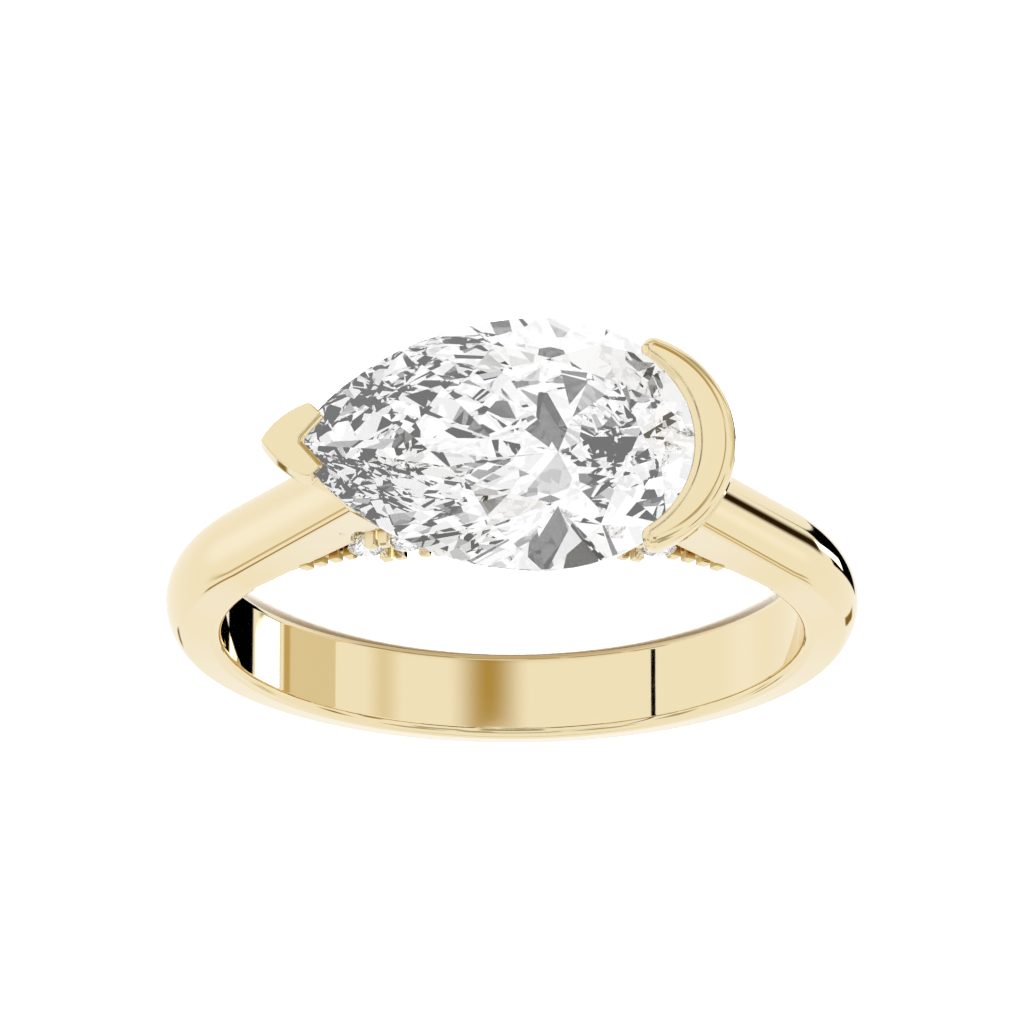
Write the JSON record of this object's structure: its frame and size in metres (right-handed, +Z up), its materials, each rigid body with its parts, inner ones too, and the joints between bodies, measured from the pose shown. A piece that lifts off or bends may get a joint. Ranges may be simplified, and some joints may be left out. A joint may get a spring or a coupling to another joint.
{
  "type": "east west pear ring",
  "caption": "Gold ring that carries a pear brilliant sideways between a pointed cap and a crescent half bezel, over a bridge of small stones between cathedral shoulders",
  "frame": {"origin": "centre of the footprint, on the table the ring lies on", "axes": "+Z up; -Y from the finger hole towards the stone; +X towards the stone's point. The ring lies on its side, on the stone's girdle and the palm's edge, so its finger hole leans from +Z by six and a half degrees"},
  "size_m": [0.0202, 0.0248, 0.0075],
  "materials": {
    "gold": "polished 14k yellow gold",
    "diamond": "cut and polished diamond"
  },
  "bodies": {
    "root": {"gold_ring": "gold", "pear_stone": "diamond", "front_stone_1": "diamond", "front_stone_2": "diamond", "front_stone_3": "diamond", "front_stone_4": "diamond", "front_stone_5": "diamond", "front_stone_6": "diamond", "front_stone_7": "diamond", "front_stone_8": "diamond", "back_stone_1": "diamond", "back_stone_2": "diamond", "back_stone_3": "diamond", "back_stone_4": "diamond", "back_stone_5": "diamond", "back_stone_6": "diamond", "back_stone_7": "diamond", "back_stone_8": "diamond"}
  },
  "joints": []
}
